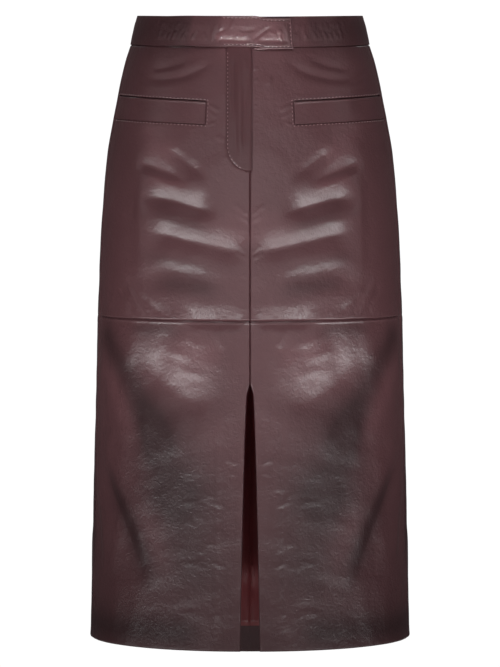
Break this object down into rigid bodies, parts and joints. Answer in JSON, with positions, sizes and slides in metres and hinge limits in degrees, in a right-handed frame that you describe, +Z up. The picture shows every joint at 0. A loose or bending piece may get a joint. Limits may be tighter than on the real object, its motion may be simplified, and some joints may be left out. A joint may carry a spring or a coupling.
{
  "type": "leather skirt",
  "caption": "Calf-length leather skirt in its worn, hollow shape, with front slit, J-stitched fly, waistband tab, welt pockets and satin lining.",
  "frame": {"origin": "centre of the waist opening, half way up the waistband at the sides, where the wearer's waist holds the skirt", "axes": "+Z up towards the wearer's head, -Y towards the front with the fly and the slit, +X towards the wearer's left"},
  "size_m": [0.373, 0.2502, 0.7529],
  "materials": {
    "leather": "smooth lamb nappa, dark burgundy brown, soft sheen",
    "leather_inside": "the same leather where it is turned up inside the hem",
    "lining": "red brown satin"
  },
  "bodies": {
    "root": {"waistband": "leather", "fly": "leather", "pocket_welt_left": "leather", "pocket_welt_right": "leather", "front_upper_left": "leather", "front_upper_right": "leather", "front_lower_left": "leather", "front_lower_right": "leather", "back_upper_left": "leather", "back_upper_right": "leather", "back_lower_left": "leather", "back_lower_right": "leather", "front_hem_left": "leather_inside", "front_hem_right": "leather_inside", "back_hem_left": "leather_inside", "back_hem_right": "leather_inside", "front_lining_left": "lining", "front_lining_right": "lining", "back_lining_left": "lining", "back_lining_right": "lining"}
  },
  "joints": []
}
